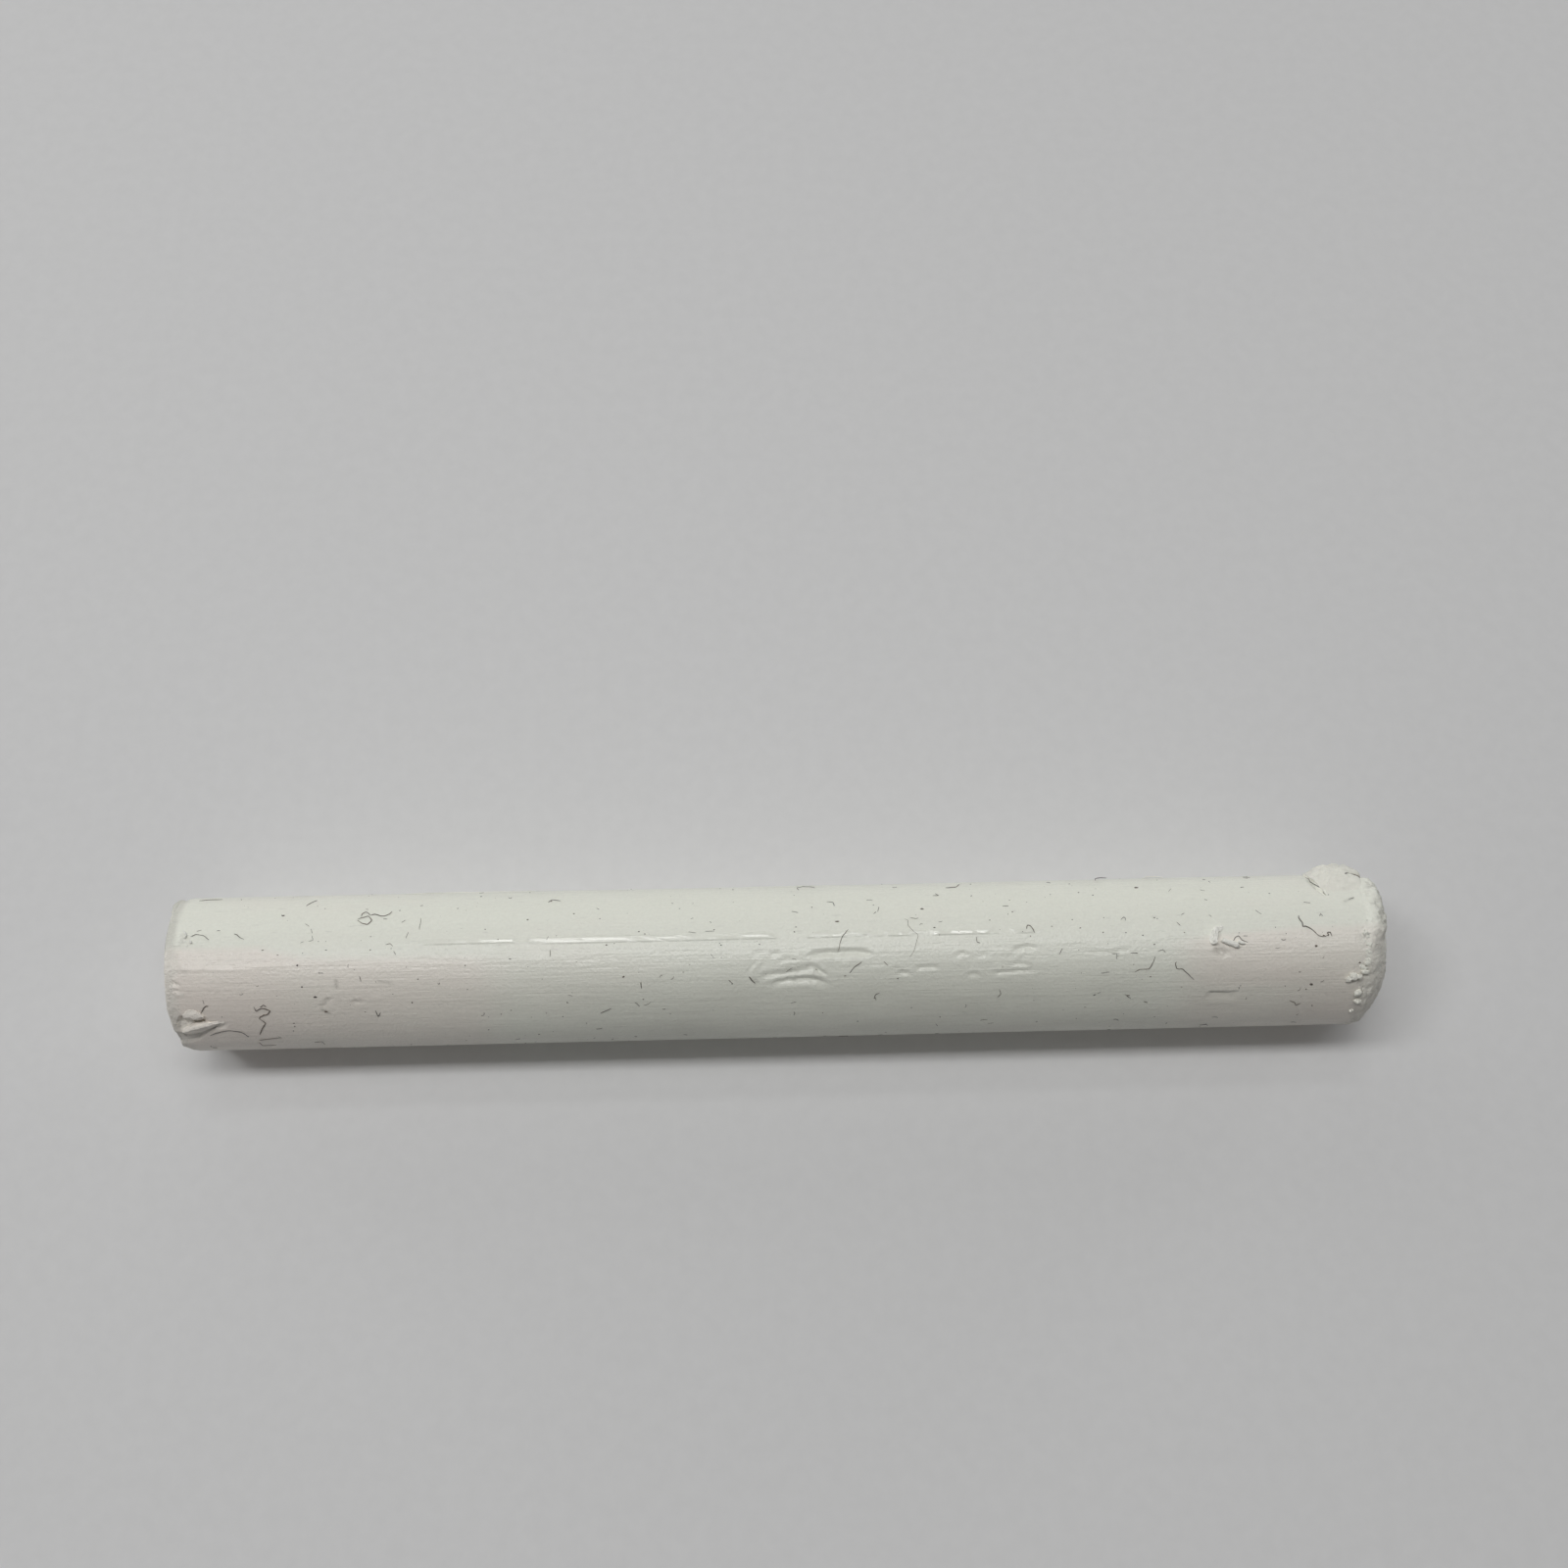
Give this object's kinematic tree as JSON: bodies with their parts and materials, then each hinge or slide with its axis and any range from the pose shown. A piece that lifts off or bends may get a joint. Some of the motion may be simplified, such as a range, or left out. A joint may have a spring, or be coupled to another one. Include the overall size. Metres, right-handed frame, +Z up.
{
  "type": "drawing stick",
  "caption": "Round white drawing stick, cut at one end and rubbed round at the other, with nail dents, a torn flap, a lifted flake and rim crumbs.",
  "frame": {"origin": "on the surface that the stick lies on, under the middle of its axis", "axes": "+X along the stick from the cut end to the rubbed end, +Y away from the front, +Z up"},
  "size_m": [0.0805, 0.0105, 0.0101],
  "materials": {
    "white_stick": "satin",
    "torn_white": "matte"
  },
  "bodies": {
    "root": {"stick": "white_stick", "torn_flap": "torn_white", "lifted_flake": "torn_white", "lifted_shaving": "torn_white", "rim_crumbs": "torn_white"}
  },
  "joints": []
}
